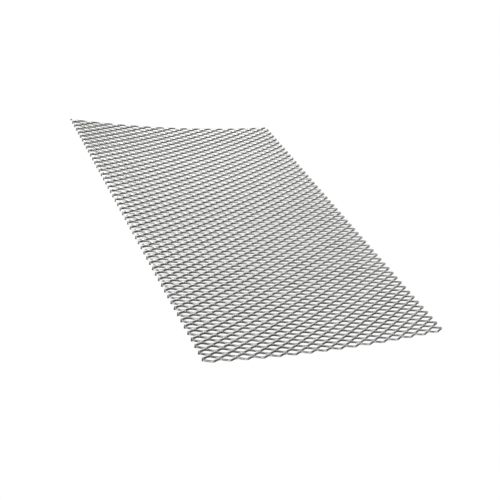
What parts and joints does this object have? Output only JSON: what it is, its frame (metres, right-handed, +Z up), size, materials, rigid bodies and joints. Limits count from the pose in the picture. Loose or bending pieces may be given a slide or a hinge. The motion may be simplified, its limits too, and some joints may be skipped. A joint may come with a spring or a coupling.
{
  "type": "expanded metal mesh sheet",
  "caption": "Rectangular sheet of raised expanded aluminium mesh with small diamond openings, its long edges bowed slightly upwards.",
  "frame": {"origin": "on the floor under the middle of the sheet", "axes": "+X along the long way of the diamonds, across the sheet's width; +Y along the short way, down the sheet's length and away from the picture's camera; +Z up"},
  "size_m": [0.1998, 0.301, 0.0073],
  "materials": {
    "mesh": "bright mill finish, unpainted"
  },
  "bodies": {
    "root": {"mesh_edge_left": "mesh", "mesh_left": "mesh", "mesh_centre": "mesh", "mesh_right": "mesh", "mesh_edge_right": "mesh"}
  },
  "joints": []
}
